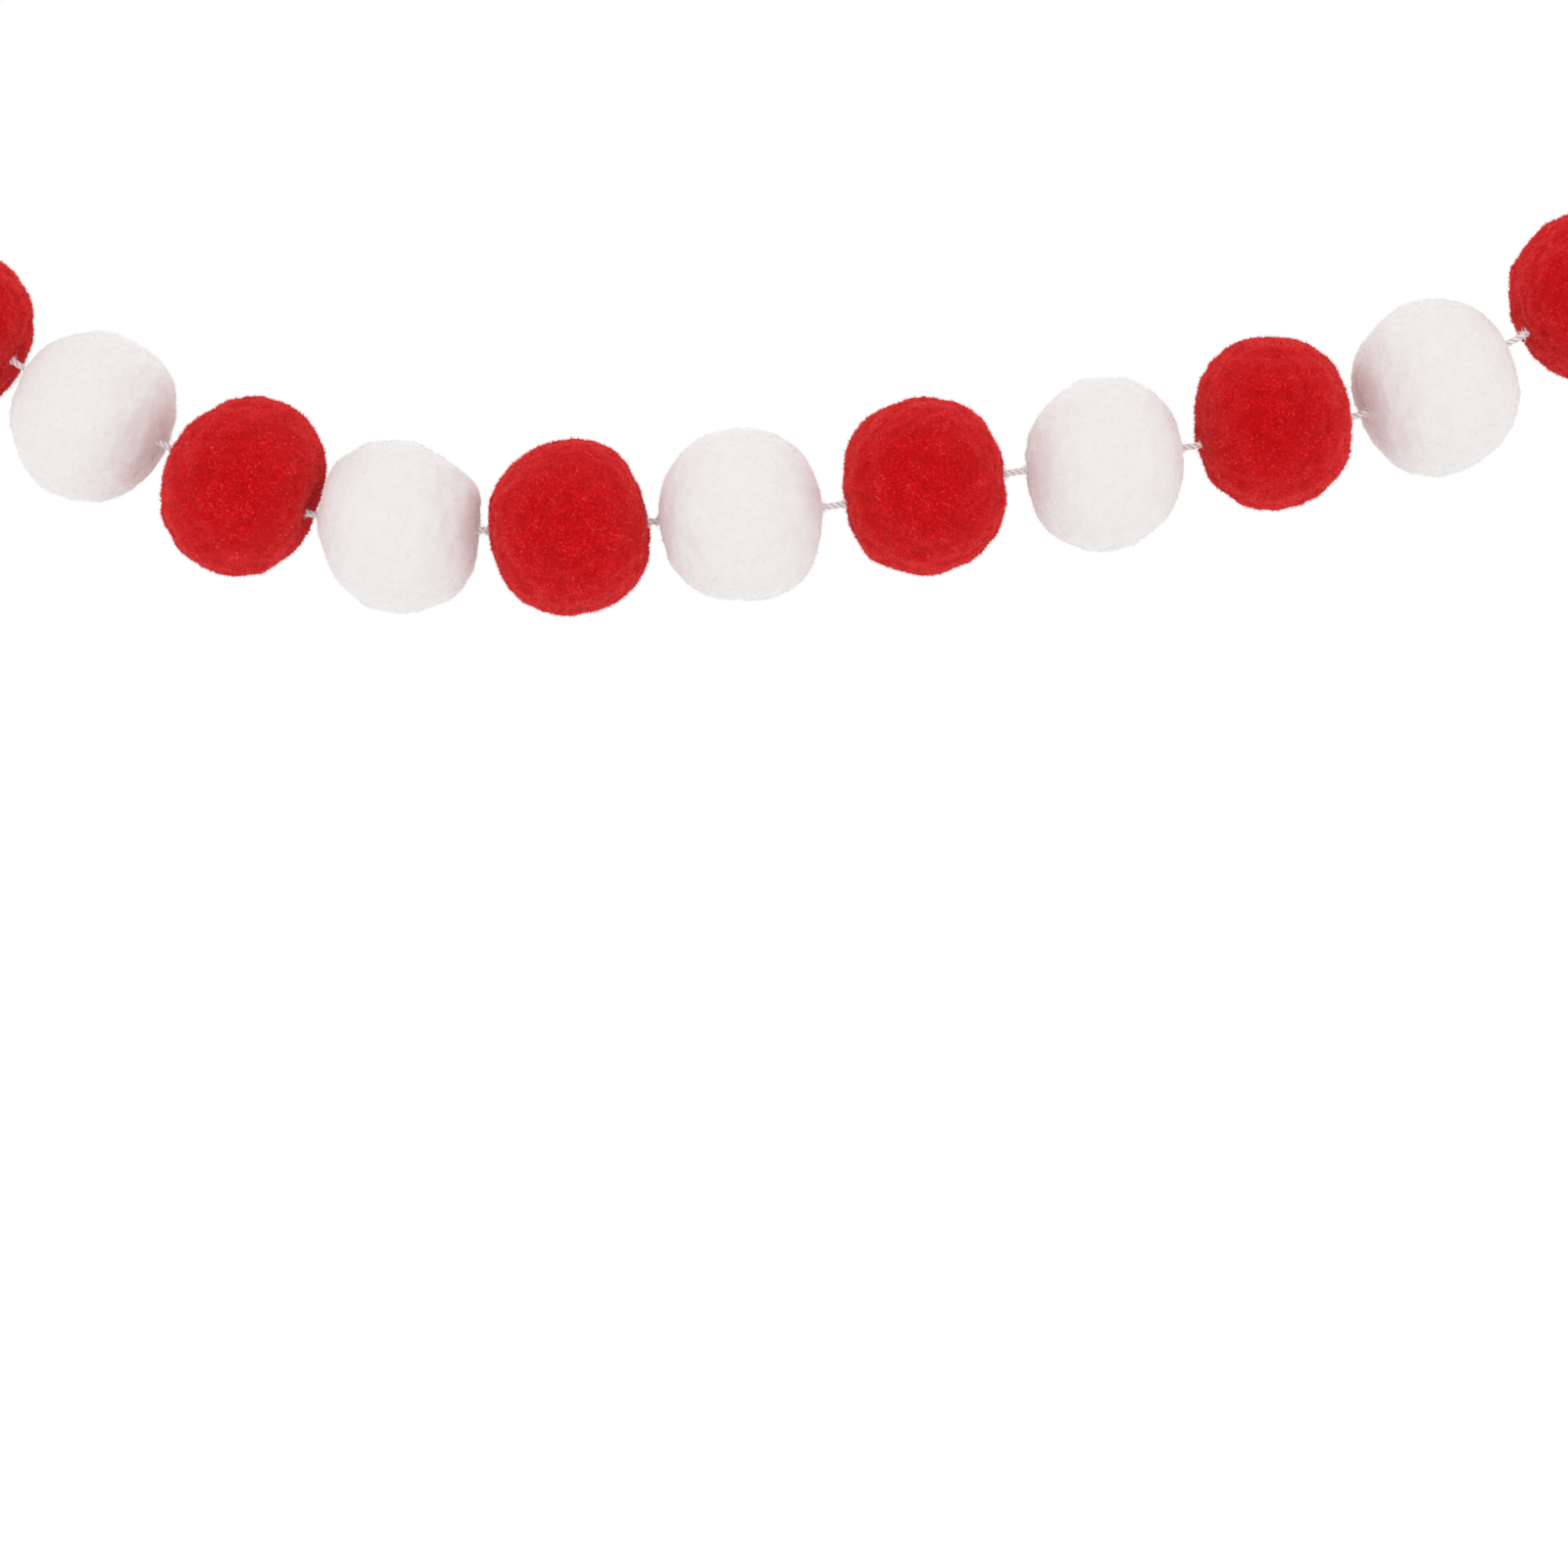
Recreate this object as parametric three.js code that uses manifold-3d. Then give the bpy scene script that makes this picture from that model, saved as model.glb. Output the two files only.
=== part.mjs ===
// A swag of felt balls, red and white in turn, threaded on one twisted cord.
// The cord runs through a bore in every ball and ends on each side in a knot and a small
// hanging loop. All balls hang clear of one another on the taut cord.
//
// Millimetres, +Z up. +X runs along the swag and +Y runs away from the viewer.
// The origin is the crown of the left hanging loop.

import * as THREE from 'three';
import { mergeVertices } from 'three/addons/utils/BufferGeometryUtils.js';
import Module from 'manifold-3d';

const wasm = await Module();
wasm.setup();

// ---- Driving dimensions ----

const CORD_DIAMETER = 1.2;
const CORD_CLEARANCE = 0.35; // free space round the cord inside a bore
const BORE_RADIUS = CORD_DIAMETER / 2 + CORD_CLEARANCE;

// A ball's section is a rounded form between an ellipse (2) and a square (large).
const BALL_SQUARENESS = 2.2;

// The cord pulls each ball in where it enters, as a shallow pinch that is taller than deep.
const PINCH_TALL = 24; // half height and half width, in degrees from the pole
const PINCH_DEEP = 15;

// A ball that sits off its cord leans away from both mouths, in full from this angle on.
const LEAN_FROM = 46;

// A swell on the outline fades towards the front and back of the ball. Below 1 it fades late.
const SWELL_FADE = 0.8;

// Low relief on the front and back of a ball, away from its outline.
const RELIEF_HEIGHT = 0.45;
const RELIEF_WAVES_UP = 5;
const RELIEF_WAVES_ALONG = 4;
const RELIEF_STEP = 2.4; // shift of the waves from one ball to the next

const LOOP_LENGTH = 15; // knot to crown
const LOOP_WIDTH = 7.2;
const TAIL_LENGTH = 6.5;
const TAIL_DROP = 2.9;
const KNOT_LENGTH = 4.2;
const KNOT_WRAPS = 3;
const KNOT_WRAP_PITCH = 0.9; // in cord diameters
const KNOT_LEAN_ONE_WAY = 20; // degrees, in turn with the other way
const KNOT_LEAN_OTHER_WAY = -26;
const KNOT_FAN = 14; // degrees from one wrap to the next
const STRANDS_APART = 0.35; // how far the cord's strands lie off the middle of the knot

// ---- Resolution ----

const CORD_SIDES = 8;
const LOOP_STEPS = 10;
const TAIL_STEPS = 2;
const BEND_REACH = 1.2; // how far a bend in the cord reaches each way from its corner
const BALL_SIDES = 24;
const RING_ANGLES = [9, 16, 25, 35, 46, 57, 68, 79, 90]; // degrees from a pole to the waist

// ---- Tables ----

// Turns rows of numbers under named columns into objects.
function table(columns, rows) {
  return rows.map((row) => Object.fromEntries(columns.map((name, i) => [name, row[i]])));
}

// Where the cord shows beside the balls: ball number n hangs between stop n and stop n + 1.
const STOPS = table(['x', 'z'], [
  [18.8, -13.8],
  [41.8, -28.8],
  [65.8, -42.0],
  [90.2, -53.7],
  [120.4, -56.6],
  [149.5, -55.0],
  [179.6, -52.4],
  [210.8, -46.6],
  [240.6, -42.3],
  [268.8, -37.1],
  [296.0, -24.0],
  [320.7, -9.3],
]);

const LEFT_KNOT = { x: 12.0, z: -9.0 };
const LEFT_CROWN = { x: 0, z: 0 };
const RIGHT_KNOT = { x: 327.6, z: -4.6 };
const RIGHT_CROWN = { x: 339.8, z: 4.2 };

// Each ball's size along the cord, upright across it and from front to back, how far its
// middle lies from the middle of its stretch of cord (along, above and behind it), and how
// deep the pinches are where the cord goes in on the left and comes out on the right.
const BALLS = table(
  ['tone', 'along', 'across', 'deep', 'slide', 'rise', 'back', 'pinchIn', 'pinchOut'],
  [
    ['red', 27.0, 29.8, 29.6, -0.7, -1.5, 0.6, 1.0, 2.2],
    ['white', 26.2, 29.8, 30.0, 0.8, -1.4, 0.5, 0.9, 2.3],
    ['red', 26.4, 31.4, 30.6, 1.6, -0.4, 0.8, 0.8, 2.0],
    ['white', 28.2, 30.0, 30.2, 0.7, -0.6, 0.4, 0.9, 1.9],
    ['red', 28.1, 30.2, 30.0, 0.0, -0.3, 0.0, 0.9, 1.7],
    ['white', 28.9, 29.9, 29.8, -0.6, -0.3, 0.2, 1.0, 1.0],
    ['red', 28.3, 30.2, 30.2, 0.1, 0.6, 0.8, 0.9, 1.2],
    ['white', 27.6, 30.0, 30.2, 0.0, -0.8, 0.0, 1.2, 1.2],
    ['red', 26.2, 29.8, 29.8, -0.1, 1.5, 0.2, 1.2, 1.0],
    ['white', 27.0, 30.6, 30.2, -1.0, -1.4, 0.4, 2.1, 0.8],
    ['red', 26.8, 30.0, 29.8, 0.6, -0.7, 0.2, 1.0, 1.0],
  ],
);

// Swells and dents of each ball's outline. turn is counted from the cord's direction upwards
// round the front view, and spread is the half width, both in degrees. height is in mm.
const SWELLS = table(['ball', 'turn', 'height', 'spread'], [
  [1, 50, 0.4, 18],
  [1, 112, -0.5, 16],
  [1, 200, 0.5, 18],
  [1, 332, 1.0, 15],
  [2, 60, 0.6, 14],
  [2, 90, -0.7, 10],
  [2, 130, -0.9, 14],
  [2, 236, -1.5, 12],
  [2, 262, 0.9, 12],
  [2, 332, 0.5, 14],
  [3, 18, -0.6, 20],
  [3, 90, 0.7, 15],
  [3, 138, -1.3, 20],
  [3, 215, -0.7, 20],
  [3, 282, 0.4, 14],
  [4, 22, 1.3, 14],
  [4, 62, -1.4, 20],
  [4, 133, 0.5, 17],
  [4, 220, -1.4, 19],
  [4, 320, 0.6, 22],
  [5, 28, -0.6, 20],
  [5, 75, 0.7, 14],
  [5, 122, -1.2, 17],
  [5, 172, 0.3, 18],
  [5, 292, -0.4, 16],
  [5, 334, 0.7, 16],
  [6, 80, 0.3, 12],
  [6, 48, -0.4, 11],
  [6, 132, -0.5, 11],
  [6, 262, -0.9, 14],
  [6, 300, 0.8, 13],
  [7, 32, 0.5, 16],
  [7, 92, -0.4, 14],
  [7, 126, 0.5, 13],
  [7, 214, 0.7, 15],
  [7, 298, 0.4, 13],
  [8, 24, 0.5, 10],
  [8, 46, -0.5, 12],
  [8, 125, -0.9, 18],
  [8, 217, 0.7, 20],
  [8, 312, -0.9, 24],
  [9, 20, 0.8, 15],
  [9, 62, -0.7, 15],
  [9, 105, 0.4, 12],
  [9, 140, 0.3, 14],
  [9, 200, 0.3, 16],
  [9, 320, 0.5, 13],
  [9, 345, -0.6, 12],
  [10, 20, 0.3, 18],
  [10, 86, 0.6, 12],
  [10, 113, -1.2, 14],
  [10, 150, 0.6, 12],
  [10, 222, 0.6, 14],
  [10, 284, -0.6, 16],
  [10, 328, -0.5, 15],
  [11, 40, 0.4, 18],
  [11, 140, -0.5, 16],
  [11, 172, 0.4, 14],
  [11, 235, -0.7, 16],
  [11, 290, 0.4, 16],
]);

// One side of a loop, from its knot to its crown, as shares of its length and of its width.
const LOOP_SIDE = table(['out', 'wide'], [
  [0.16, 0.5],
  [0.42, 0.88],
  [0.72, 0.94],
  [0.93, 0.56],
]);

// ---- Colours ----

const FINISHES = {
  red: new THREE.MeshStandardMaterial({ color: 0xb8161c, roughness: 0.95, metalness: 0 }),
  white: new THREE.MeshStandardMaterial({ color: 0xe9e8e6, roughness: 0.95, metalness: 0 }),
  cord: new THREE.MeshStandardMaterial({ color: 0xf1eef0, roughness: 0.55, metalness: 0 }),
};

// ---- Helpers ----

const radians = THREE.MathUtils.degToRad;
const degrees = THREE.MathUtils.radToDeg;

// 1 at the middle, falling off smoothly to each side.
function bell(off) {
  return Math.exp(-off * off);
}

function place(point) {
  return new THREE.Vector3(point.x, 0, point.z);
}

// A closed geometry as a manifold solid.
function solidOf(geometry) {
  geometry.deleteAttribute('normal');
  geometry.deleteAttribute('uv');
  const merged = mergeVertices(geometry, 1e-4);
  return new wasm.Manifold(new wasm.Mesh({
    numProp: 3,
    vertProperties: merged.attributes.position.array,
    triVerts: new Uint32Array(merged.index.array),
  }));
}

// A manifold solid as a geometry.
function geometryOf(solid) {
  const mesh = solid.getMesh();
  const geometry = new THREE.BufferGeometry();
  geometry.setAttribute('position', new THREE.BufferAttribute(mesh.vertProperties, 3));
  geometry.setIndex(new THREE.BufferAttribute(mesh.triVerts, 1));
  geometry.computeVertexNormals();
  return geometry;
}

function namedMesh(name, geometry, material) {
  const mesh = new THREE.Mesh(geometry, material);
  mesh.name = name;
  return mesh;
}

// ---- Balls ----

// The smaller of the two angles between turns, in degrees.
function turnBetween(a, b) {
  const gap = Math.abs(a - b) % 360;
  return Math.min(gap, 360 - gap);
}

// How far a ball's surface lies from its middle in a direction given by its share up across
// the cord, along the cord and to the back.
function surfaceRadius(ball, swells, up, along, back) {
  const n = BALL_SQUARENESS;
  const side = Math.hypot(up / (ball.across / 2), back / (ball.deep / 2));
  const end = Math.abs(along) / (ball.along / 2);
  let radius = Math.pow(Math.pow(side, n) + Math.pow(end, n), -1 / n);

  const turn = degrees(Math.atan2(up, along));
  const lift = degrees(Math.asin(THREE.MathUtils.clamp(back, -1, 1)));
  for (const swell of swells) {
    const off = Math.hypot(turnBetween(turn, swell.turn), lift * SWELL_FADE);
    radius += swell.height * bell(off / swell.spread);
  }

  const tall = degrees(Math.atan2(Math.abs(up), Math.abs(along)));
  const pinch = along < 0 ? ball.pinchIn : ball.pinchOut;
  radius -= pinch * bell(tall / PINCH_TALL) * bell(lift / PINCH_DEEP);

  const phase = ball.number * RELIEF_STEP;
  const waves = Math.sin(RELIEF_WAVES_UP * up + phase) * Math.sin(RELIEF_WAVES_ALONG * along + 2 * phase);
  return radius + RELIEF_HEIGHT * back * back * waves;
}

// A ball round its stretch of cord, which is its local Y axis: local X is up across the cord
// and local Z is to the back. The lathe's profile goes from one mouth of the bore over the
// outside to the other mouth, and back through the bore.
function ballGeometry(ball) {
  const swells = SWELLS.filter((swell) => swell.ball === ball.number);
  const mouthAngle = degrees(Math.asin(BORE_RADIUS / (ball.along / 2)));
  const half = [mouthAngle, ...RING_ANGLES];
  const angles = [...half, ...half.slice(0, -1).reverse().map((angle) => 180 - angle)];
  const profile = angles.map((angle) => {
    const a = radians(angle);
    return new THREE.Vector2(Math.sin(a), -Math.cos(a));
  });
  profile.push(profile[0].clone());
  const lathe = new THREE.LatheGeometry(profile, BALL_SIDES);

  const points = lathe.attributes.position;
  const seam = BALL_SIDES * profile.length; // from here on the first meridian comes again
  const direction = new THREE.Vector3();
  for (let i = 0; i < seam; i += 1) {
    direction.fromBufferAttribute(points, i).normalize();
    const { x: up, y: along, z: back } = direction;
    const radius = surfaceRadius(ball, swells, up, along, back);
    const fromPole = degrees(Math.acos(Math.abs(along)));
    const lean = THREE.MathUtils.smoothstep(fromPole, mouthAngle, LEAN_FROM);
    const atMouth = fromPole < mouthAngle + 0.01;
    const spoke = atMouth ? BORE_RADIUS / Math.hypot(up, back) : radius;
    points.setXYZ(
      i,
      spoke * up + ball.rise * lean,
      radius * along + ball.slide,
      spoke * back + ball.back * lean,
    );
  }
  for (let i = seam; i < points.count; i += 1) {
    points.setXYZ(i, points.getX(i - seam), points.getY(i - seam), points.getZ(i - seam));
  }
  return geometryOf(solidOf(lathe));
}

function ballMesh(ball) {
  const from = place(STOPS[ball.number - 1]);
  const to = place(STOPS[ball.number]);
  const along = to.clone().sub(from).normalize();
  const back = new THREE.Vector3(0, 1, 0);
  const up = new THREE.Vector3().crossVectors(along, back);
  const name = `ball_${String(ball.number).padStart(2, '0')}_${ball.tone}`;
  const mesh = namedMesh(name, ballGeometry(ball), FINISHES[ball.tone]);
  mesh.position.copy(from).lerp(to, 0.5);
  mesh.quaternion.setFromRotationMatrix(new THREE.Matrix4().makeBasis(up, along, back));
  return mesh;
}

// ---- Cord ----

function cordSection() {
  const corners = [];
  for (let i = 0; i < CORD_SIDES; i += 1) {
    const turn = (i / CORD_SIDES) * 2 * Math.PI;
    corners.push(new THREE.Vector2(Math.cos(turn), Math.sin(turn)).multiplyScalar(CORD_DIAMETER / 2));
  }
  return new THREE.Shape(corners);
}

function tubeAlong(path, steps) {
  return solidOf(new THREE.ExtrudeGeometry(cordSection(), { steps, extrudePath: path }));
}

// A route of straight steps with a section of the cord at each of its stations.
class SteppedPath extends THREE.Curve {
  constructor(stations) {
    super();
    this.stations = stations;
  }

  getPoint(t, target = new THREE.Vector3()) {
    const last = this.stations.length - 1;
    const i = Math.min(Math.floor(t * last + 1e-9), last - 1);
    return target.lerpVectors(this.stations[i], this.stations[i + 1], t * last - i);
  }

  getPointAt(u, target) {
    return this.getPoint(u, target);
  }

  getTangentAt(u, target = new THREE.Vector3()) {
    const reach = 0.001;
    const before = this.getPoint(Math.max(u - reach, 0));
    const after = this.getPoint(Math.min(u + reach, 1));
    return target.copy(after).sub(before).normalize();
  }
}

// Straight stretches through the balls, joined by short bends at the stops.
function runPath() {
  const corners = [LEFT_KNOT, ...STOPS, RIGHT_KNOT].map(place);
  const stations = [corners[0]];
  for (let i = 1; i < corners.length - 1; i += 1) {
    const corner = corners[i];
    const before = corner.clone().add(corners[i - 1].clone().sub(corner).setLength(BEND_REACH));
    const after = corner.clone().add(corners[i + 1].clone().sub(corner).setLength(BEND_REACH));
    const bend = new THREE.QuadraticBezierCurve3(before, corner, after);
    stations.push(before, bend.getPoint(0.5), after);
  }
  stations.push(corners[corners.length - 1]);
  return new SteppedPath(stations);
}

// A point beside a knot: out towards the crown of its loop, and up across that line.
function besideKnot(knot, crown, out, up) {
  const outward = place(crown).sub(place(knot)).normalize();
  const upward = new THREE.Vector3(-outward.z, 0, outward.x);
  if (upward.z < 0) upward.negate();
  return place(knot).addScaledVector(outward, out).addScaledVector(upward, up);
}

// The drop-shaped eye that hangs over a pin or hook. It starts and ends inside the knot.
function loopPath(knot, crown) {
  const upperSide = LOOP_SIDE.map(({ out, wide }) => [out * LOOP_LENGTH, (wide * LOOP_WIDTH) / 2]);
  const lowerSide = upperSide.map(([out, up]) => [out, -up]).reverse();
  const outline = [[0, STRANDS_APART], ...upperSide, [LOOP_LENGTH, 0], ...lowerSide, [0, -STRANDS_APART]];
  const points = outline.map(([out, up]) => besideKnot(knot, crown, out, up));
  return new THREE.CatmullRomCurve3(points, false, 'centripetal');
}

// The cut end that stands out of the knot, below the cord.
function tailPath(knot, crown) {
  return new THREE.CatmullRomCurve3([
    besideKnot(knot, crown, 0, -STRANDS_APART),
    besideKnot(knot, crown, -0.5 * TAIL_LENGTH, -0.45 * TAIL_DROP),
    besideKnot(knot, crown, -TAIL_LENGTH, -TAIL_DROP),
  ]);
}

// An overhand knot: wraps that lean one after another round a solid core.
function knotSolid(knot, crown) {
  const outward = place(crown).sub(place(knot)).normalize();
  const turnTo = new THREE.Quaternion().setFromUnitVectors(new THREE.Vector3(0, 0, 1), outward);
  const core = new THREE.SphereGeometry(1, 10, 8);
  core.scale(CORD_DIAMETER, CORD_DIAMETER, KNOT_LENGTH / 2);
  core.applyQuaternion(turnTo);
  core.translate(knot.x, 0, knot.z);
  let solid = solidOf(core);
  for (let i = 0; i < KNOT_WRAPS; i += 1) {
    const step = i - (KNOT_WRAPS - 1) / 2;
    const wrap = new THREE.TorusGeometry(CORD_DIAMETER, CORD_DIAMETER / 2, CORD_SIDES, 12);
    wrap.rotateX(radians(i % 2 === 0 ? KNOT_LEAN_ONE_WAY : KNOT_LEAN_OTHER_WAY));
    wrap.rotateY(radians(step * KNOT_FAN));
    wrap.translate(0, 0, step * CORD_DIAMETER * KNOT_WRAP_PITCH);
    wrap.applyQuaternion(turnTo);
    wrap.translate(knot.x, 0, knot.z);
    solid = solid.add(solidOf(wrap));
  }
  return solid;
}

// The whole cord, which is one piece: the run through the balls, and a knot, a loop and a
// short tail at each end.
function cordGeometry() {
  const run = runPath();
  let solid = tubeAlong(run, run.stations.length - 1);
  for (const [knot, crown] of [[LEFT_KNOT, LEFT_CROWN], [RIGHT_KNOT, RIGHT_CROWN]]) {
    solid = solid.add(tubeAlong(loopPath(knot, crown), LOOP_STEPS));
    solid = solid.add(tubeAlong(tailPath(knot, crown), TAIL_STEPS));
    solid = solid.add(knotSolid(knot, crown));
  }
  return geometryOf(solid);
}

// ---- Garland ----

const garland = new THREE.Group();
garland.name = 'felt_ball_garland';
garland.add(namedMesh('cord', cordGeometry(), FINISHES.cord));
BALLS.forEach((ball, i) => garland.add(ballMesh({ ...ball, number: i + 1 })));

export default garland;
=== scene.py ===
"""A swag of red and white felt balls on one twisted cord, dressed for close views."""
import math

import bpy
import numpy as np
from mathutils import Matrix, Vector
from mathutils.bvhtree import BVHTree


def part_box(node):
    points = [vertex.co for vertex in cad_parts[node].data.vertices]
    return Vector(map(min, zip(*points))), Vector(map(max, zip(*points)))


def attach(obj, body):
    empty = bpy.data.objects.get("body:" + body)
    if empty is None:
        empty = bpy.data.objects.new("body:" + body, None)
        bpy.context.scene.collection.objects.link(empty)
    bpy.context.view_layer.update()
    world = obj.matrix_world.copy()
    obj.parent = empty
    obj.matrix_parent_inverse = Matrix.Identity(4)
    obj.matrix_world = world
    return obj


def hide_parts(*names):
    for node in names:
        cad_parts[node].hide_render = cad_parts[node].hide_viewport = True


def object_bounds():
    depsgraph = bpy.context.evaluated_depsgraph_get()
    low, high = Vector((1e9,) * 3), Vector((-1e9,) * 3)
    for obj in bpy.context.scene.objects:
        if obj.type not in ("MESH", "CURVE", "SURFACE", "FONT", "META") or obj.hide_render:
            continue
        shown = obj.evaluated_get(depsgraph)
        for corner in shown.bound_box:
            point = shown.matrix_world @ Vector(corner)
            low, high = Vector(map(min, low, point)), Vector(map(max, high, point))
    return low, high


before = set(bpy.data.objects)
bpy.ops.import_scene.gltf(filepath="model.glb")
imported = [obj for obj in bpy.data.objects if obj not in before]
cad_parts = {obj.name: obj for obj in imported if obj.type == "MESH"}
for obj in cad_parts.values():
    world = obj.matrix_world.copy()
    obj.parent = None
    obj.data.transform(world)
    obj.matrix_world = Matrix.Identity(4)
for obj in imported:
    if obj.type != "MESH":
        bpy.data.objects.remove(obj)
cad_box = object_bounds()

MM = 0.001
SEED = 11

# ---- Camera: face on to the swag and level, on the middle of the photo ----

PHOTO_WIDTH = 1600  # pixels
PHOTO_SCALE = 6  # pixels to a millimetre at the cord
VIEW_WIDTH = PHOTO_WIDTH / PHOTO_SCALE * MM
VIEW_DISTANCE = 420 * MM
VIEW_CENTRE = (171.33 * MM, -99.67 * MM)  # along X and Z
SENSOR = 36  # mm, as Blender's lenses are


def make_camera():
    data = bpy.data.cameras.new("camera")
    data.sensor_width = SENSOR
    data.lens = SENSOR * VIEW_DISTANCE / VIEW_WIDTH
    data.clip_start = 0.01
    data.clip_end = 20
    camera = bpy.data.objects.new("camera", data)
    camera.location = (VIEW_CENTRE[0], -VIEW_DISTANCE, VIEW_CENTRE[1])
    camera.rotation_euler = (math.radians(90), 0, 0)
    bpy.context.scene.collection.objects.link(camera)
    bpy.context.scene.camera = camera


# ---- The cord's route ----

# Plain numbers here are mm, and a place is given along X and Z.

# The stops between the two knots. Ball n hangs between stops n and n + 1.
STOPS = [
    (18.8, -13.8),
    (41.8, -28.8),
    (65.8, -42.0),
    (90.2, -53.7),
    (120.4, -56.6),
    (149.5, -55.0),
    (179.6, -52.4),
    (210.8, -46.6),
    (240.6, -42.3),
    (268.8, -37.1),
    (296.0, -24.0),
    (320.7, -9.3),
]
BEND_REACH = 1.2 * MM  # how far to each side of a stop the cord bends

# A loop runs out from its knot to its crown, and a tail runs back from the knot and down.
LEFT_KNOT, LEFT_CROWN = (12.0, -9.0), (0.0, 0.0)
RIGHT_KNOT, RIGHT_CROWN = (327.6, -4.6), (339.8, 4.2)
LOOP_LENGTH, LOOP_WIDTH = 15.0, 7.2
TAIL_LENGTH, TAIL_DROP = 6.5, 2.9
STRAND_OFFSET = 0.35  # a strand that leaves a knot, from the knot's middle
# One side of a loop, from its knot to its crown, as shares of its length and of its half width.
LOOP_SIDE = [(0.16, 0.5), (0.42, 0.88), (0.72, 0.94), (0.93, 0.56)]
TAIL_MIDDLE = (0.5, 0.45)  # as shares of the tail's length and drop

CORD_DIAMETER = 1.2 * MM
CORD_STEP = 0.27 * MM  # between two rings of the cord's mesh

KNOT_TURNS = 3
KNOT_WRAP_PITCH = 1.1 * MM
KNOT_REACH = 0.95 * CORD_DIAMETER  # the middle of a wrap from the middle of its knot
KNOT_LEAN = 0.35 * CORD_DIAMETER  # how far a wrap leans to and fro along its knot
KNOT_POINTS = 24  # to a turn

FRONT_TO_BACK = np.array([0.0, 1.0, 0.0])


def in_plane(x, z):
    return np.array([x, 0.0, z]) * MM


def unit(vectors):
    """A vector, or each row of an array, made one long."""
    return vectors / np.linalg.norm(vectors, axis=-1, keepdims=True)


def beside_knot(knot, crown, out, up):
    """A point out from a knot towards its loop's crown, and up across that line."""
    outward = unit(np.array(crown) - np.array(knot))
    upward = np.array([-outward[1], outward[0]])
    if upward[1] < 0:
        upward = -upward
    return in_plane(*(np.array(knot) + out * outward + up * upward))


def eye(knot, crown):
    """The loop's outline, from the knot round the crown and back to the knot."""
    upper = [(out * LOOP_LENGTH, wide * LOOP_WIDTH / 2) for out, wide in LOOP_SIDE]
    lower = [(out, -up) for out, up in reversed(upper)]
    outline = [(0, STRAND_OFFSET), *upper, (LOOP_LENGTH, 0), *lower, (0, -STRAND_OFFSET)]
    return [beside_knot(knot, crown, out, up) for out, up in outline]


def tail(knot, crown):
    """The tail's line, from the knot to the cord's end."""
    middle = (-TAIL_MIDDLE[0] * TAIL_LENGTH, -TAIL_MIDDLE[1] * TAIL_DROP)
    line = [(0, -STRAND_OFFSET), middle, (-TAIL_LENGTH, -TAIL_DROP)]
    return [beside_knot(knot, crown, out, up) for out, up in line]


def smooth_through(points, per_span=8):
    """A Catmull-Rom line through the points."""
    p = np.array(points)
    p = np.vstack([2 * p[0] - p[1], p, 2 * p[-1] - p[-2]])
    line = []
    for i in range(1, len(p) - 2):
        a, b, c, d = p[i - 1 : i + 3]
        for t in np.arange(per_span) / per_span:
            curve = (2 * a - 5 * b + 4 * c - d) * t**2 + (3 * b - a - 3 * c + d) * t**3
            line.append(0.5 * (2 * b + (c - a) * t + curve))
    return np.array([*line, p[-2]])


def with_bends(points, reach, per_bend=6):
    """Straight stretches joined by short round bends."""
    p = np.array(points)
    line = [p[0]]
    for before, corner, after in zip(p, p[1:], p[2:]):
        start = corner + reach * unit(before - corner)
        end = corner + reach * unit(after - corner)
        for t in np.linspace(0, 1, per_bend):
            line.append((1 - t) ** 2 * start + 2 * t * (1 - t) * corner + t**2 * end)
    return np.array([*line, p[-1]])


def spaced(line, step):
    """The same line with points at even steps."""
    along = np.concatenate([[0], np.cumsum(np.linalg.norm(np.diff(line, axis=0), axis=1))])
    count = max(2, round(along[-1] / step))
    places = np.linspace(0, along[-1], count + 1)
    return np.column_stack([np.interp(places, along, line[:, k]) for k in range(3)])


def cord_route():
    """The whole cord's line: left tail, knot, loop, the run through the balls, loop, knot and tail."""
    left_tail = smooth_through(tail(LEFT_KNOT, LEFT_CROWN))[::-1]
    left_eye = smooth_through(eye(LEFT_KNOT, LEFT_CROWN))[::-1]
    run = with_bends([in_plane(*p) for p in [LEFT_KNOT, *STOPS, RIGHT_KNOT]], BEND_REACH)
    right_eye = smooth_through(eye(RIGHT_KNOT, RIGHT_CROWN))
    right_tail = smooth_through(tail(RIGHT_KNOT, RIGHT_CROWN))
    return spaced(np.vstack([left_tail, left_eye, run[1:-1], right_eye, right_tail]), CORD_STEP)


def knot_wraps(knot, crown):
    """The line of the turns of cord wound round a knot."""
    axis = unit(in_plane(*crown) - in_plane(*knot))
    up = np.cross(axis, FRONT_TO_BACK)
    turn = np.linspace(0, 2 * np.pi * KNOT_TURNS, KNOT_POINTS * KNOT_TURNS)
    out = KNOT_REACH * np.sin(np.pi * turn / turn[-1]) ** 0.25  # the ends dive into the knot
    along = (turn / (2 * np.pi) - KNOT_TURNS / 2) * KNOT_WRAP_PITCH + KNOT_LEAN * np.cos(turn)
    line = in_plane(*knot) + np.outer(along, axis)
    line += np.outer(out * np.cos(turn), FRONT_TO_BACK) + np.outer(out * np.sin(turn), up)
    return spaced(line, CORD_STEP)


# ---- Balls of the frame ----


def balls():
    """Each ball's number, colour and CAD node."""
    for name, node in sorted(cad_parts.items()):
        if name.startswith("ball_"):
            _, number, colour = name.split("_")
            yield int(number), colour, node


def stops_beside(number):
    """The stops before and after a ball. Its bore lies on the line between them."""
    return in_plane(*STOPS[number - 1]), in_plane(*STOPS[number])


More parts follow.
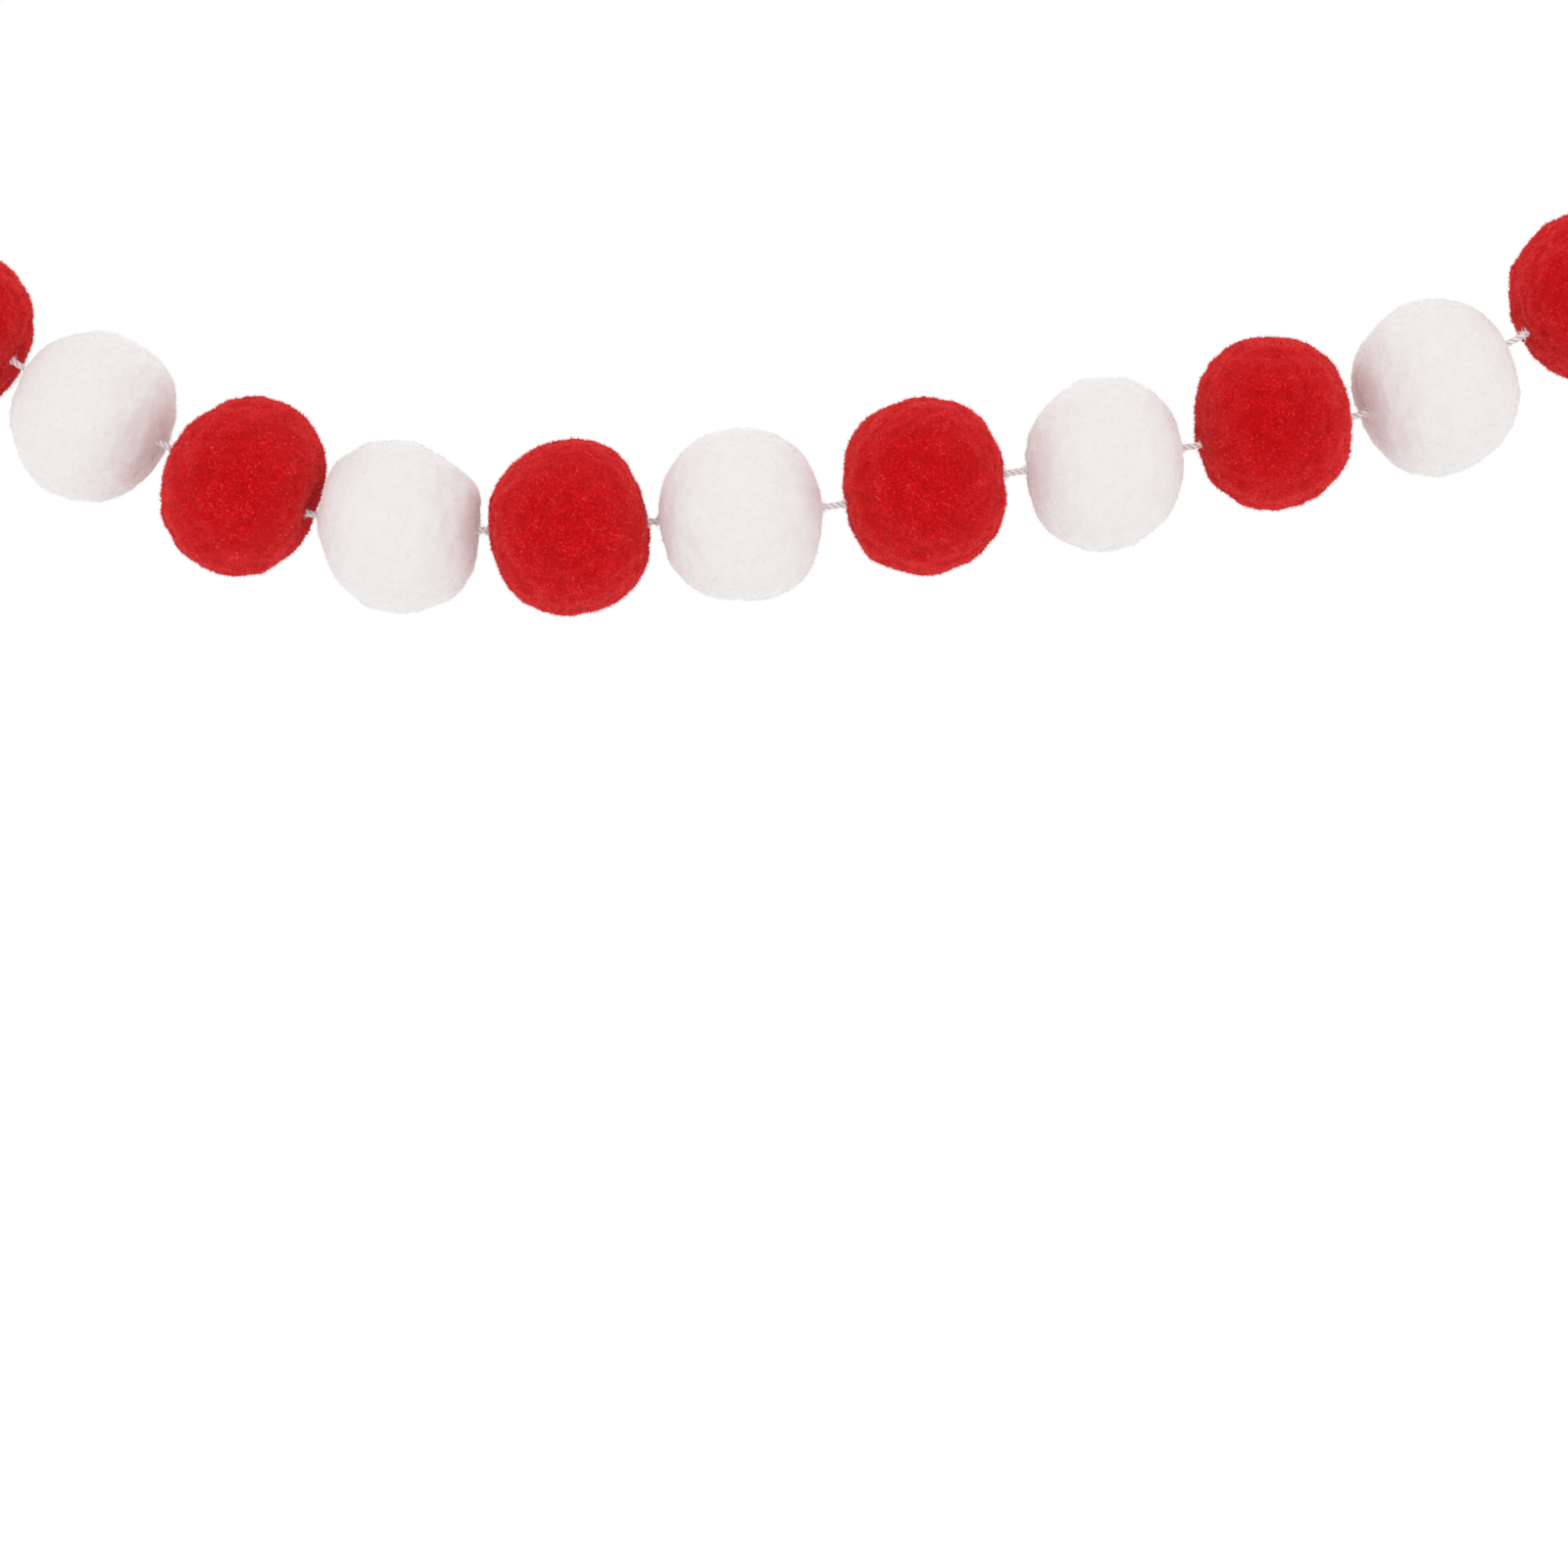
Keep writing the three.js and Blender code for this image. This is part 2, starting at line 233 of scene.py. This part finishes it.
def surface_of(node):
    """A CAD node's surface, for rays to meet."""
    mesh = node.data
    return BVHTree.FromPolygons([v.co for v in mesh.vertices], [p.vertices for p in mesh.polygons])


# ---- Meshes ----


def joined(*parts):
    """The vertices, faces and tones of several meshes as those of one."""
    vertices, faces, tones = zip(*parts)
    starts = np.cumsum([0, *map(len, vertices)]).tolist()
    all_faces = [[start + i for i in face] for start, part in zip(starts, faces) for face in part]
    return np.vstack(vertices), all_faces, np.concatenate(tones)


def new_piece(name, vertices, faces, tones, smooth, material):
    """A mesh object with a tone, and its painted shading, at each vertex. smooth: how many of its faces, from
    the first, are smooth.
    """
    mesh = bpy.data.meshes.new(name)
    mesh.from_pydata(vertices.tolist(), [], faces)
    mesh.attributes.new("tone", "FLOAT", "POINT").data.foreach_set("value", tones.astype(np.float32))
    mesh.polygons.foreach_set("use_smooth", np.arange(len(faces)) < smooth)
    mesh.materials.append(material)
    piece = bpy.data.objects.new(name, mesh)
    bpy.context.scene.collection.objects.link(piece)
    return piece


def spikes(root, lean, normal, length, width):
    """Thin closed spikes from just under their roots, four vertices and four faces each."""
    side = unit(np.cross(normal, lean))
    under = np.cross(lean, side)
    width = width[:, None]
    sunk = root - 0.5 * width * normal
    corners = [sunk - width / 2 * side, sunk + width / 2 * side, sunk - width * under - 0.5 * width * lean]
    vertices = np.stack([*corners, root + length[:, None] * lean], 1)
    around = np.array([[0, 1, 3], [1, 2, 3], [2, 0, 3], [2, 1, 0]])
    faces = (4 * np.arange(len(root))[:, None, None] + around).reshape(-1, 3)
    return vertices.reshape(-1, 3), faces.tolist()


# ---- Cord ----

PLIES = 3
PLY_RADIUS = 0.36 * MM
PLY_OFFSET = 0.24 * MM  # a ply's middle from the cord's middle
LAY = 3.3 * MM  # one full turn of the plies
CORD_POINTS = 18  # round the cord
NOT_ALONG_CORD = (0.3, 1.0, 0.1)  # any direction that neither the cord nor a knot's wrap starts in

# The cord's stray fibres, where it goes into each ball.
FRAY_COUNT = (25, 80)  # at one mouth of a bore: the least, and one more than the most
FRAY_REACH = (0.1 * MM, 1.1 * MM)  # how far out of the ball they start
FRAY_ROOT = 0.4 * CORD_DIAMETER  # how far from the cord's middle they start
FRAY_LENGTH = 0.85 * MM
FRAY_LENGTHS = (0.4, 1.3)  # the least and most, as shares of FRAY_LENGTH
FRAY_WIDTH = 0.14 * MM
FRAY_WIDTHS = (0.6, 1.4)
FRAY_FAN = (0.4, 1.2)  # how much they lean away from the cord
FRAY_SCATTER = 0.4  # how much they lean any way at all
FRAY_SWEEP = 0.1  # how much they lean out of the ball

# A bore's mouth is found by rays beside the cord, which meet the felt round the bore.
MOUTH_RAYS = 8
BESIDE_CORD = 1.3 * MM  # how far from the cord's middle the rays run
RAY_START = 5 * MM  # how far out past the ball's stop a ray starts


def lobed_section():
    """Angles and radii of the outline of plies that lie side by side."""
    angle = np.arange(CORD_POINTS) * 2 * np.pi / CORD_POINTS
    lobe = 2 * np.pi / PLIES
    off = (angle + lobe / 2) % lobe - lobe / 2
    inner = np.sqrt(np.maximum(PLY_RADIUS**2 - (PLY_OFFSET * np.sin(off)) ** 2, 0))
    return angle, PLY_OFFSET * np.cos(off) + inner


def twisted_tube(line):
    """Vertices, faces and tones of a closed tube of twisted plies along a line."""
    tangent = unit(np.gradient(line, axis=0))
    normal = np.cross(tangent[0], NOT_ALONG_CORD)
    frames = []
    for t in tangent:
        normal = unit(normal - t * (normal @ t))
        frames.append((normal, np.cross(t, normal)))
    angle, radius = lobed_section()
    tone = (radius - radius.min()) / (radius.max() - radius.min())  # 0 in a groove, 1 on a crest: it paints shade into the grooves and lightens the crests
    twist = np.arange(len(line)) * CORD_STEP * 2 * np.pi / LAY
    rings = [
        p + np.outer(radius * np.cos(angle + turn), n) + np.outer(radius * np.sin(angle + turn), b)
        for p, turn, (n, b) in zip(line, twist, frames)
    ]
    around = list(range(CORD_POINTS))
    last = CORD_POINTS * (len(line) - 1)
    faces = [
        (start + j, start + k, start + k + CORD_POINTS, start + j + CORD_POINTS)
        for start in range(0, last, CORD_POINTS)
        for j, k in zip(around, around[1:] + around[:1])
    ]
    faces += [around[::-1], [last + j for j in around]]
    return np.vstack(rings), faces, np.tile(tone, len(line))


def bore_mouths():
    """Where the cord goes into each ball, and the way out of the ball there."""
    for number, _, node in balls():
        surface = surface_of(node)
        stops = stops_beside(number)
        for near, far in (stops, stops[::-1]):
            out = unit(near - far)
            up = np.cross(out, FRONT_TO_BACK)
            depths = []
            for turn in np.linspace(0, 2 * np.pi, MOUTH_RAYS, endpoint=False):
                beside = BESIDE_CORD * (np.cos(turn) * up + np.sin(turn) * FRONT_TO_BACK)
                distance = surface.ray_cast(Vector(near + RAY_START * out + beside), Vector(-out))[3]
                if distance is not None:
                    depths.append(distance - RAY_START)
            yield near - np.median(depths) * out, out


def frayed_ends(rng):
    """The cord's stray fibres, which fan out where it goes into each ball: vertices, faces and tones."""
    roots, leans, normals = [], [], []
    for mouth, out in bore_mouths():
        count = rng.integers(*FRAY_COUNT)
        angle = rng.uniform(0, 2 * np.pi, count)
        up = np.cross(out, FRONT_TO_BACK)
        spoke = np.outer(np.cos(angle), up) + np.outer(np.sin(angle), FRONT_TO_BACK)
        along = rng.uniform(*FRAY_REACH, count)[:, None] * out
        roots.append(mouth + along + FRAY_ROOT * spoke)
        fan = spoke * rng.uniform(*FRAY_FAN, (count, 1))
        scatter = rng.normal(0, FRAY_SCATTER, (count, 3))
        leans.append(unit(fan + scatter + FRAY_SWEEP * out))
        normals.append(spoke)
    root, lean, normal = np.vstack(roots), np.vstack(leans), np.vstack(normals)
    length = FRAY_LENGTH * rng.uniform(*FRAY_LENGTHS, len(root))
    width = FRAY_WIDTH * rng.uniform(*FRAY_WIDTHS, len(root))
    vertices, faces = spikes(root, lean, normal, length, width)
    return vertices, faces, np.ones(len(vertices))


def make_cord(material):
    route = cord_route()
    lines = [route, knot_wraps(LEFT_KNOT, LEFT_CROWN), knot_wraps(RIGHT_KNOT, RIGHT_CROWN)]
    tubes = [twisted_tube(line) for line in lines]
    stray = frayed_ends(np.random.default_rng(SEED))
    vertices, faces, tones = joined(*tubes, stray)
    smooth = sum(len(tube_faces) for _, tube_faces, _ in tubes)
    piece = new_piece("twisted_cord", vertices, faces, tones, smooth, material)
    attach(piece, "root")
    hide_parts("cord")
    in_plane(*LEFT_KNOT)


# ---- Felt balls ----

# A ball's shape is found by rays at its middle from all round it.
RAY_REACH = 30 * MM  # how far from the middle they start
IN_BORE = 0.6  # a ray went down the bore if it got nearer the middle than this share of the radius
MOUTH_ANGLE = 7  # degrees round the bore's line over which the felt closes on the cord
NEAR_MOUTH = 12  # the felt from there to this angle gives the closed mouth its height
SMOOTHING = 2.4 * MM  # over what distance the facets of the CAD ball are eased

# cells: along each edge of the cube that a ball's mesh is blown up from.
# grain, curd, lump: height and size of the relief's fine, middling and broad bumps.
# fibres, width, length: how many stand on the felt, and their size. inset: the felt's depth under their tips.
# rise: the least and most that a fibre stands up from the felt, in degrees.
# flat: the higher, the more of the fibres keep near the least rise. At 1 they are spread evenly.
# tone: the felt's place on its material's colour ramp. fibre_tone: the same for a fibre's root and its tip,
# set above the felt's to paint light on the fibres, most at their tips, for the glow of the fuzz at the rim
# and for the light their shaded sides lose.
FELT = {
    "red": {
        "cells": 44,
        "grain": (0.045 * MM, 1.4 * MM),
        "curd": (0.08 * MM, 3.2 * MM),
        "lump": (0.12 * MM, 7 * MM),
        "fibres": 18500,
        "width": 0.105 * MM,
        "length": 0.6 * MM,
        "inset": 0.30 * MM,
        "rise": (8, 62),
        "flat": 1,
        "tone": 0.40,
        "fibre_tone": (0.60, 0.84),
    },
    "white": {
        "cells": 46,
        "grain": (0.045 * MM, 1.4 * MM),
        "curd": (0.06 * MM, 3.5 * MM),
        "lump": (0.10 * MM, 7 * MM),
        "fibres": 10000,
        "width": 0.055 * MM,
        "length": 0.65 * MM,
        "inset": 0.32 * MM,
        "rise": (2, 70),
        "flat": 3,
        "tone": 0.5,
        "fibre_tone": (0.8, 0.95),
    },
}
GRAIN_PAINTED_SHADE, CURD_PAINTED_SHADE = 0.021, 0.015  # painted shade: how much lighter the felt is painted on its bumps, and darker in its dips
FIBRE_TONE_SPREAD = 0.08
FIBRE_LENGTHS = (0.6, 1.3)  # the least and most, as shares of the felt's fibre length
FIBRE_WIDTHS = (0.7, 1.3)
SWIRL = 0.6  # how much neighbouring fibres lean the same way
SWIRL_SIZE = 4 * MM
CLEAR_OF_CORD = 0.8 * CORD_DIAMETER  # no fibre starts nearer to the cord's middle


def cube_sphere(cells):
    """Unit directions and quads of a cube blown up to a sphere."""
    edge = np.tan(np.linspace(-1, 1, cells + 1) * np.pi / 4)
    u, v = np.meshgrid(edge, edge, indexing="ij")
    one = np.ones_like(u)
    sides = [(one, u, v), (-one, v, u), (v, one, u), (u, -one, v), (u, v, one), (v, u, -one)]
    points = np.vstack([np.stack(side, -1).reshape(-1, 3) for side in sides])
    corner = np.arange(cells)[:, None] * (cells + 1) + np.arange(cells)[None, :]
    quad = np.stack([corner, corner + cells + 1, corner + cells + 2, corner + 1], -1).reshape(-1, 4)
    quads = np.vstack([quad + k * (cells + 1) ** 2 for k in range(len(sides))])
    # The sides share the vertices along their edges.
    _, first, merged = np.unique(np.round(points, 6), axis=0, return_index=True, return_inverse=True)
    return unit(points[first]), merged.reshape(-1)[quads]


def waves(points, size, rng, count=40):
    """An even random field at the points, with a spread of 1 and waves about as long as the size."""
    turn = unit(rng.normal(size=(count, 3))) * (2 * np.pi / size) * rng.uniform(0.7, 1.4, count)[:, None]
    phase = rng.uniform(0, 2 * np.pi, count)
    return np.sin(points @ turn.T + phase).sum(1) / math.sqrt(count / 2)


class Mean:
    """For a value at each vertex, the mean over its neighbours."""

    def __init__(self, quads, count):
        pairs = np.sort(np.vstack([quads[:, [i, (i + 1) % 4]] for i in range(4)]), axis=1)
        self.edges = np.unique(pairs, axis=0)
        self.counts = np.bincount(self.edges.reshape(-1), minlength=count)

    def __call__(self, values):
        one, other = self.edges.T
        size = len(self.counts)
        return (np.bincount(one, values[other], size) + np.bincount(other, values[one], size)) / self.counts


def outer_radii(node, centre, directions, quads, axis):
    """How far the CAD ball reaches in each direction, with its facets eased and its bore closed."""
    surface = surface_of(node)
    radii = np.full(len(directions), np.nan)
    for i, d in enumerate(directions):
        hit = surface.ray_cast(Vector(centre + d * RAY_REACH), Vector(-d))[0]
        if hit is not None:
            radii[i] = np.linalg.norm(np.array(hit) - centre)
    from_axis = np.degrees(np.arccos(np.clip(np.abs(directions @ axis), 0, 1)))
    mouth = np.isnan(radii) | (radii < IN_BORE * np.nanmedian(radii)) | (from_axis < MOUTH_ANGLE)
    radii[mouth] = np.nanmedian(radii[(from_axis < NEAR_MOUTH) & ~mouth])

    # The mean of each vertex's neighbours, taken n times over, reaches about sqrt(n) vertices.
    mean = Mean(quads, len(directions))
    spacing = math.sqrt(4 * np.pi / len(directions)) * np.median(radii)
    mouth_reach = MOUTH_ANGLE / math.degrees(spacing / np.median(radii))
    for _ in range(round(3 * mouth_reach) ** 2):
        radii[mouth] = mean(radii)[mouth]
    for _ in range(round(4 * (SMOOTHING / spacing) ** 2)):
        radii = (radii + mean(radii)) / 2
    return radii


def surface_normals(points, quads):
    """Each vertex's normal."""
    a, b, c, d = (points[quads[:, k]] for k in range(4))
    across = np.cross(c - a, d - b)
    sums = [sum(np.bincount(quads[:, k], across[:, i], len(points)) for k in range(4)) for i in range(3)]
    return unit(np.column_stack(sums))


def felt_body(node, axis, felt, rng):
    """The ball's felt under its fibres: vertices, quads, normals and tones."""
    directions, quads = cube_sphere(felt["cells"])
    low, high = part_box(node.name)
    centre = np.array((low + high) / 2)
    radii = outer_radii(node, centre, directions, quads, axis)
    points = centre + directions * radii[:, None]
    relief = {}
    for name in ("grain", "curd", "lump"):
        height, size = felt[name]
        relief[name] = waves(points, size, rng)
        radii = radii + height * relief[name]
    points = centre + directions * (radii - felt["inset"])[:, None]
    normals = surface_normals(points, quads)
    if (normals * directions).sum() < 0:
        quads, normals = quads[:, ::-1], -normals
    # Painted shade: the felt is made lighter on the bumps of its relief and darker in its dips.
    tones = felt["tone"] + GRAIN_PAINTED_SHADE * relief["grain"] + CURD_PAINTED_SHADE * relief["curd"]
    return points, quads, normals, np.clip(tones, 0, 1)


def felt_fibres(points, quads, normals, felt, rng, off_limits):
    """Short closed spikes that lean over the felt: vertices, faces and tones."""
    a, b, c, d = (points[quads[:, k]] for k in range(4))
    area = np.linalg.norm(np.cross(c - a, d - b), axis=1)
    corners = quads[rng.choice(len(quads), felt["fibres"], p=area / area.sum())]
    s, t = rng.uniform(size=(2, felt["fibres"], 1))

    def across(field):
        low = field[corners[:, 0]] * (1 - s) + field[corners[:, 1]] * s
        high = field[corners[:, 3]] * (1 - s) + field[corners[:, 2]] * s
        return low * (1 - t) + high * t

    root, normal = across(points), across(normals)
    keep = ~off_limits(root)
    root, normal = root[keep], unit(normal[keep])
    count = len(root)
    swirl = np.stack([waves(root, SWIRL_SIZE, rng) for _ in range(3)], -1)
    way = rng.normal(size=(count, 3)) + SWIRL * swirl
    way = unit(way - normal * (way * normal).sum(1)[:, None])
    least, most = felt["rise"]
    rise = np.radians(least + (most - least) * rng.uniform(size=count) ** felt["flat"])[:, None]
    lean = np.cos(rise) * way + np.sin(rise) * normal
    length = felt["length"] * rng.uniform(*FIBRE_LENGTHS, count)
    width = felt["width"] * rng.uniform(*FIBRE_WIDTHS, count)
    vertices, faces = spikes(root, lean, normal, length, width)

    # Painted light: fibres are lighter than the felt they stand on, and lighter at the tip than at the root.
    root_tone, tip_tone = felt["fibre_tone"]
    own = FIBRE_TONE_SPREAD * rng.normal(size=(count, 1))
    tones = np.clip(own + np.array([root_tone, root_tone, root_tone, tip_tone]), 0, 1)
    return vertices, faces, tones.reshape(-1)


def make_ball(number, node, felt, material):
    rng = np.random.default_rng(SEED + number)
    start, end = stops_beside(number)
    axis = unit(end - start)

    def on_cord(places):
        off = places - start
        off = off - np.outer(off @ axis, axis)
        return np.linalg.norm(off, axis=1) < CLEAR_OF_CORD

    points, quads, normals, body_tones = felt_body(node, axis, felt, rng)
    fibres = felt_fibres(points, quads, normals, felt, rng, on_cord)
    vertices, faces, tones = joined((points, quads.tolist(), body_tones), fibres)
    piece = new_piece(f"felt_ball_{number:02d}", vertices, faces, tones, len(quads), material)
    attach(piece, "root")
    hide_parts(node.name)


# ---- Materials ----

# The colour sockets of a Mix node, which share their names with its other sockets.
MIX_A, MIX_B = 6, 7
MIX_RESULT = 2
NOISE_RANGE = (0.3, 0.7)  # where most of a noise lies
NOISE_MEAN = 0.5


def shader(name, roughness, specular, sheen, sheen_tint, sheen_roughness):
    material = bpy.data.materials.new(name)
    material.use_nodes = True
    principled = material.node_tree.nodes["Principled BSDF"]
    principled.inputs["Roughness"].default_value = roughness
    principled.inputs["Specular IOR Level"].default_value = specular
    principled.inputs["Sheen Weight"].default_value = sheen
    principled.inputs["Sheen Roughness"].default_value = sheen_roughness
    principled.inputs["Sheen Tint"].default_value = (*sheen_tint, 1)
    return material, principled


def add(tree, kind, **values):
    """A new node. Each value is for the input of that name, or else for the node's own property."""
    node = tree.nodes.new(kind)
    for key, value in values.items():
        if key in node.inputs:
            node.inputs[key].default_value = value
        else:
            setattr(node, key, value)
    return node


def noise(tree, size, detail, roughness):
    """Noise of about that size, from 0 to 1 and fixed to the piece."""
    place = add(tree, "ShaderNodeTexCoord")
    cloud = add(tree, "ShaderNodeTexNoise", Scale=1 / size, Detail=detail, Roughness=roughness)
    tree.links.new(place.outputs["Object"], cloud.inputs["Vector"])
    return cloud.outputs["Fac"]


def tone_colours(tree, stops, patches=()):
    """The tone attribute, tone with painted light and shade, as colours. Patches, each a size, spread, detail
    and roughness, vary it first.
    """
    tone = add(tree, "ShaderNodeAttribute", attribute_name="tone").outputs["Fac"]
    for size, spread, detail, roughness in patches:
        change = add(tree, "ShaderNodeMath", operation="MULTIPLY_ADD")
        change.inputs[1].default_value = spread
        change.inputs[2].default_value = -NOISE_MEAN * spread
        total = add(tree, "ShaderNodeMath", operation="ADD")
        tree.links.new(noise(tree, size, detail, roughness), change.inputs[0])
        tree.links.new(change.outputs[0], total.inputs[0])
        tree.links.new(tone, total.inputs[1])
        tone = total.outputs[0]
    ramp = add(tree, "ShaderNodeValToRGB")
    elements = ramp.color_ramp.elements
    while len(elements) < len(stops):
        elements.new(0.5)
    for element, (place, colour) in zip(elements, stops):
        element.position = place
        element.color = (*colour, 1)
    tree.links.new(tone, ramp.inputs["Fac"])
    return ramp.outputs["Color"]


def mottled(tree, colour, size, low, high):
    """The colour made lighter and darker in patches of that size."""
    spread = add(tree, "ShaderNodeMapRange")
    spread.inputs["From Min"].default_value, spread.inputs["From Max"].default_value = NOISE_RANGE
    spread.inputs["To Min"].default_value = low
    spread.inputs["To Max"].default_value = high
    mix = add(tree, "ShaderNodeMix", data_type="RGBA", blend_type="MULTIPLY", Factor=1)
    tree.links.new(noise(tree, size, detail=2.0, roughness=0.6), spread.inputs["Value"])
    tree.links.new(colour, mix.inputs[MIX_A])
    tree.links.new(spread.outputs["Result"], mix.inputs[MIX_B])
    return mix.outputs[MIX_RESULT]


def fine_bump(tree, principled, size, distance, strength):
    bump = add(tree, "ShaderNodeBump", Strength=strength, Distance=distance)
    tree.links.new(noise(tree, size, detail=3.0, roughness=0.5), bump.inputs["Height"])
    tree.links.new(bump.outputs["Normal"], principled.inputs["Normal"])


def red_felt():
    material, principled = shader(
        "red_felt",
        roughness=0.95,
        specular=0.03,
        sheen=1.0,
        sheen_tint=(1.0, 0.10, 0.10),
        sheen_roughness=0.57,
    )
    tree = material.node_tree
    # The pale top stops paint the glints of the fibre tips, which reach them; the lower stops are the felt's
    # own red.
    stops = [
        (0.0, (0.34, 0.001, 0.002)),
        (0.35, (0.465, 0.001, 0.002)),
        (0.6, (0.575, 0.002, 0.006)),
        (0.8, (0.68, 0.026, 0.031)),
        (1.0, (0.86, 0.13, 0.13)),
    ]
    colour = tone_colours(tree, stops, patches=[(3.0 * MM, 0.45, 1.0, 0.6), (0.55 * MM, 1.4, 2.0, 0.7)])
    tree.links.new(colour, principled.inputs["Base Color"])
    fine_bump(tree, principled, size=0.3 * MM, distance=0.1 * MM, strength=0.5)
    return material


def white_felt():
    material, principled = shader(
        "white_felt",
        roughness=0.95,
        specular=0.03,
        sheen=0.9,
        sheen_tint=(0.95, 0.95, 0.945),
        sheen_roughness=0.6,
    )
    tree = material.node_tree
    stops = [(0.0, (0.745, 0.725, 0.717)), (0.5, (0.77, 0.748, 0.741)), (1.0, (0.795, 0.773, 0.766))]
    colour = mottled(tree, tone_colours(tree, stops), 5 * MM, 0.99, 1.01)
    tree.links.new(colour, principled.inputs["Base Color"])
    fine_bump(tree, principled, size=0.3 * MM, distance=0.03 * MM, strength=0.15)
    return material


def cord_yarn():
    material, principled = shader(
        "cord_yarn",
        roughness=0.3,
        specular=1.0,
        sheen=0.8,
        sheen_tint=(1.0, 0.98, 0.99),
        sheen_roughness=0.6,
    )
    tree = material.node_tree
    # Painted shade and highlight: the low stops darken the grooves between the plies, and the top stop paints
    # the crests lighter than the yarn's own near-white.
    stops = [
        (0.0, (0.30, 0.24, 0.26)),
        (0.25, (0.68, 0.61, 0.63)),
        (0.55, (0.95, 0.91, 0.92)),
        (1.0, (0.99, 0.97, 0.975)),
    ]
    colour = mottled(tree, tone_colours(tree, stops), 0.6 * MM, 0.96, 1.04)
    tree.links.new(colour, principled.inputs["Base Color"])
    fine_bump(tree, principled, size=0.15 * MM, distance=0.05 * MM, strength=0.3)
    return material


# ---- Floor and light ----

SOFTBOX_PLACE = (0.0, -1.1, 0.2)  # from the middle of the swag: in front and above
SOFTBOX_SIZE = 0.7
SOFTBOX_POWER = 1.6
FLOOR_DROP = 0.5
FLOOR_SIZE = 2.0
FLOOR_COLOUR = (0.9, 0.9, 0.9)
FLOOR_GLOW = 0.08


def middle_of_part():
    low, high = cad_box
    return (low + high) / 2


def make_floor():
    x, y, _ = middle_of_part()
    z = cad_box[0].z - FLOOR_DROP
    half = FLOOR_SIZE / 2
    corners = [(x - half, y - half), (x + half, y - half), (x + half, y + half), (x - half, y + half)]
    mesh = bpy.data.meshes.new("floor")
    mesh.from_pydata([(*corner, z) for corner in corners], [], [(0, 1, 2, 3)])
    material = bpy.data.materials.new("pale_floor")
    material.use_nodes = True
    principled = material.node_tree.nodes["Principled BSDF"]
    principled.inputs["Base Color"].default_value = (*FLOOR_COLOUR, 1)
    principled.inputs["Roughness"].default_value = 1
    principled.inputs["Specular IOR Level"].default_value = 0
    principled.inputs["Emission Color"].default_value = (1, 1, 1, 1)
    principled.inputs["Emission Strength"].default_value = FLOOR_GLOW
    mesh.materials.append(material)
    floor = bpy.data.objects.new("floor", mesh)
    bpy.context.scene.collection.objects.link(floor)


def make_light():
    scene = bpy.context.scene
    scene.view_settings.view_transform = "Standard"
    world = bpy.data.worlds.new("white_tent")
    world.use_nodes = True
    background = world.node_tree.nodes["Background"]
    background.inputs["Color"].default_value = (1, 1, 1, 1)
    background.inputs["Strength"].default_value = 1.0
    scene.world = world

    data = bpy.data.lights.new("front_softbox", "AREA")
    data.shape = "RECTANGLE"
    data.size = data.size_y = SOFTBOX_SIZE
    data.energy = SOFTBOX_POWER
    light = bpy.data.objects.new("front_softbox", data)
    middle = middle_of_part()
    light.location = middle + Vector(SOFTBOX_PLACE)
    light.rotation_euler = (middle - light.location).to_track_quat("-Z", "Y").to_euler()
    scene.collection.objects.link(light)


# ---- Putting it together ----

make_camera()
make_cord(cord_yarn())
felts = {"red": red_felt(), "white": white_felt()}
for number, colour, node in balls():
    make_ball(number, node, FELT[colour], felts[colour])
make_floor()
make_light()
